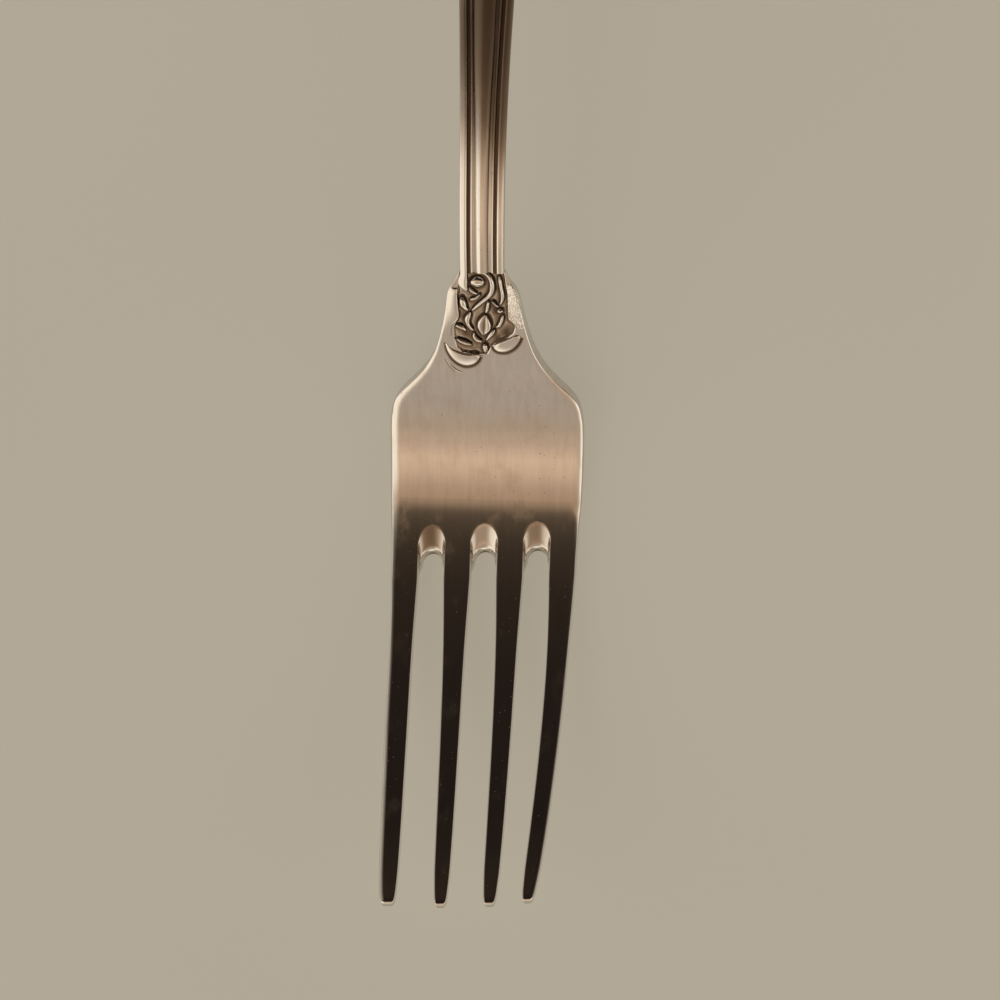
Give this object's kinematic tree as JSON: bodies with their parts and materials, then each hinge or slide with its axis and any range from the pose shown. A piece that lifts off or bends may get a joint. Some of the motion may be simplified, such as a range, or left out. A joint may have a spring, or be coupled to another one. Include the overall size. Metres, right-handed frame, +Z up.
{
  "type": "dinner fork",
  "caption": "Slim silver dinner fork with long tines, scooped slot ends, a scroll-and-leaf shoulder and a reeded handle.",
  "frame": {"origin": "middle of the bounding box in plan, on the surface the fork lies on", "axes": "+Y from the tine tips to the handle end, +Z up out of the front face, +X to the right when the front face is looked at with the handle away"},
  "size_m": [0.0262, 0.1948, 0.0187],
  "materials": {
    "silver": "old polished silver with fine scratches and light tarnish",
    "raised_silver": "rubbed bright silver with dark tarnish in the recesses"
  },
  "bodies": {
    "root": {"tine_1": "silver", "tine_2": "silver", "tine_3": "silver", "tine_4": "silver", "palm": "silver", "shoulder": "silver", "stem": "silver", "handle": "silver", "reed_left": "raised_silver", "reed_right": "raised_silver", "thread_left": "raised_silver", "thread_right": "raised_silver", "centre_rib": "raised_silver", "wing_left": "raised_silver", "wing_right": "raised_silver", "c_scroll": "raised_silver", "upper_bead": "raised_silver", "upper_petal": "raised_silver", "upper_crescent": "raised_silver", "left_knob": "raised_silver", "left_leaf": "raised_silver", "stalk": "raised_silver", "centre_leaf": "raised_silver", "left_lobe": "raised_silver", "right_lobe": "raised_silver", "right_twig": "raised_silver", "right_leaf": "raised_silver", "ribbon": "raised_silver", "ribbon_knob": "raised_silver", "left_curl": "raised_silver", "left_crescent": "raised_silver", "left_cup": "raised_silver", "left_ridge": "raised_silver", "right_cup": "raised_silver", "lower_bead": "raised_silver", "end_leaf": "raised_silver", "end_scroll_left": "raised_silver", "end_scroll_right": "raised_silver"}
  },
  "joints": []
}
